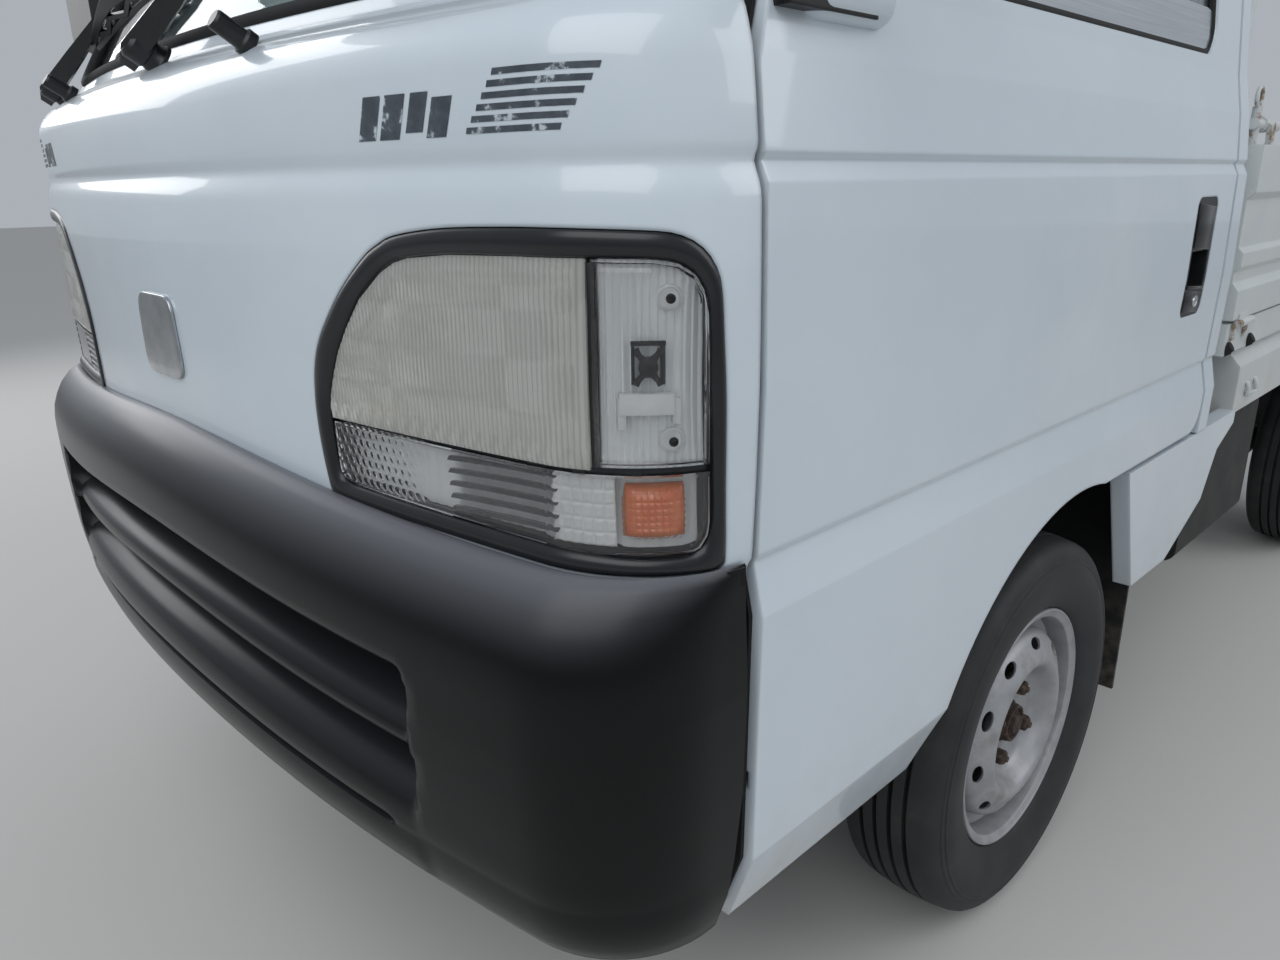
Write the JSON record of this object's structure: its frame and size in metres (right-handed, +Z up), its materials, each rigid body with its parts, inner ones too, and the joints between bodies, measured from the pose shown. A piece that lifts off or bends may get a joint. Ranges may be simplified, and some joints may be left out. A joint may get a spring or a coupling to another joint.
{
  "type": "kei truck",
  "caption": "Compact cab-over flat-bed truck with a boxy white cab, drop-side bed, black bumper, wrap-round lamps, steering front wheels, opening doors and folding gates.",
  "frame": {"origin": "on the ground under the middle of the bounding box", "axes": "+X is the truck's left side, -Y is forwards, +Z is up"},
  "size_m": [1.72, 3.295, 1.7749],
  "materials": {
    "cab_paint": "bright white gloss enamel",
    "bed_paint": "worn off-white enamel",
    "wheel_paint": "silver-white enamel",
    "chassis_black": "matt black chassis paint",
    "hinge_steel": "bare steel with rust",
    "exhaust_steel": "dull heat-stained steel",
    "engine_block": "as cast",
    "cast_iron": "rusty cast surface",
    "window_glass": "clear",
    "lamp_glass": "fluted, slightly yellowed",
    "lamp_clear": "clear ribbed",
    "lamp_red": "ribbed red",
    "black_plastic": "satin black moulding",
    "grey_plastic": "grained grey moulding",
    "seat_vinyl": "dark grey vinyl",
    "rubber": "matt black",
    "tyre": "worn black rubber"
  },
  "bodies": {
    "root": {"bed_deck": "bed_paint", "bed_headboard": "bed_paint", "bed_side_rails": "bed_paint", "cab_floor": "cab_paint", "cab_glass": "window_glass", "cab_pillars": "cab_paint", "cab_rear_wall": "cab_paint", "cab_roof": "cab_paint", "chassis_frame": "chassis_black", "corner_lamps": "lamp_clear", "corner_panels": "cab_paint", "dashboard": "grey_plastic", "door_hinges": "chassis_black", "engine": "engine_block", "exhaust": "exhaust_steel", "front_bumper": "black_plastic", "front_panel": "cab_paint", "front_suspension": "chassis_black", "fuel_tank": "chassis_black", "gate_hinges": "hinge_steel", "headlamps": "lamp_glass", "lamp_bezels": "black_plastic", "leaf_springs": "chassis_black", "mud_flaps": "rubber", "prop_shaft": "chassis_black", "rear_axle": "chassis_black", "rear_beam": "bed_paint", "seats": "seat_vinyl", "steering_column": "grey_plastic", "tail_lamps": "lamp_red", "turn_lamps": "lamp_clear", "wipers": "black_plastic"},
    "door_left": {"door_left": "cab_paint", "door_glass_left": "window_glass", "door_handle_left": "black_plastic", "mirror_left": "black_plastic"},
    "door_right": {"door_right": "cab_paint", "door_glass_right": "window_glass", "door_handle_right": "black_plastic", "mirror_right": "black_plastic"},
    "knuckle_left": {"knuckle_left": "cast_iron"},
    "knuckle_right": {"knuckle_right": "cast_iron"},
    "steering_wheel": {"steering_wheel": "grey_plastic"},
    "side_gate_left": {"side_gate_left": "bed_paint"},
    "side_gate_right": {"side_gate_right": "bed_paint"},
    "tail_gate": {"tail_gate": "bed_paint"},
    "wheel_front_left": {"rim_front_left": "wheel_paint", "tyre_front_left": "tyre", "hub_front_left": "cast_iron"},
    "wheel_front_right": {"rim_front_right": "wheel_paint", "tyre_front_right": "tyre", "hub_front_right": "cast_iron"},
    "wheel_rear_left": {"rim_rear_left": "wheel_paint", "tyre_rear_left": "tyre", "hub_rear_left": "cast_iron"},
    "wheel_rear_right": {"rim_rear_right": "wheel_paint", "tyre_rear_right": "tyre", "hub_rear_right": "cast_iron"}
  },
  "joints": [
    {"name": "steer_left", "type": "hinge", "parent": "root", "child": "knuckle_left", "pos_m": [0.49, -0.7865, 0.268], "axis": [0, 0, 1], "range_deg": [-32, 32]},
    {"name": "steer_right", "type": "hinge", "parent": "root", "child": "knuckle_right", "pos_m": [-0.49, -0.7865, 0.268], "axis": [0, 0, 1], "range_deg": [-32, 32]},
    {"name": "steering_wheel_turn", "type": "hinge", "parent": "root", "child": "steering_wheel", "pos_m": [-0.32, -1.1775, 1.03], "axis": [0, 0.6157, 0.788], "range_deg": [-512, 512]},
    {"name": "door_left_hinge", "type": "hinge", "parent": "root", "child": "door_left", "pos_m": [0.684, -1.3695, 0.7], "axis": [0, 0, -1], "range_deg": [0, 68]},
    {"name": "door_right_hinge", "type": "hinge", "parent": "root", "child": "door_right", "pos_m": [-0.684, -1.3695, 0.7], "axis": [0, 0, 1], "range_deg": [0, 68]},
    {"name": "side_gate_left_hinge", "type": "hinge", "parent": "root", "child": "side_gate_left", "pos_m": [0.691, 0.7, 0.756], "axis": [0, 1, 0], "range_deg": [0, 170]},
    {"name": "side_gate_right_hinge", "type": "hinge", "parent": "root", "child": "side_gate_right", "pos_m": [-0.691, 0.7, 0.756], "axis": [0, -1, 0], "range_deg": [0, 170]},
    {"name": "tail_gate_hinge", "type": "hinge", "parent": "root", "child": "tail_gate", "pos_m": [0, 1.641, 0.756], "axis": [-1, 0, 0], "range_deg": [0, 170]},
    {"name": "wheel_front_left_spin", "type": "hinge", "parent": "knuckle_left", "child": "wheel_front_left", "pos_m": [0.603, -0.7865, 0.268], "axis": [1, 0, 0], "continuous": true},
    {"name": "wheel_front_right_spin", "type": "hinge", "parent": "knuckle_right", "child": "wheel_front_right", "pos_m": [-0.603, -0.7865, 0.268], "axis": [1, 0, 0], "continuous": true},
    {"name": "wheel_rear_left_spin", "type": "hinge", "parent": "root", "child": "wheel_rear_left", "pos_m": [0.603, 1.1135, 0.268], "axis": [1, 0, 0], "continuous": true},
    {"name": "wheel_rear_right_spin", "type": "hinge", "parent": "root", "child": "wheel_rear_right", "pos_m": [-0.603, 1.1135, 0.268], "axis": [1, 0, 0], "continuous": true}
  ],
  "couplings": [
    {"joint": "steer_right", "follows": "steer_left", "ratio": 1},
    {"joint": "steering_wheel_turn", "follows": "steer_left", "ratio": 16}
  ]
}
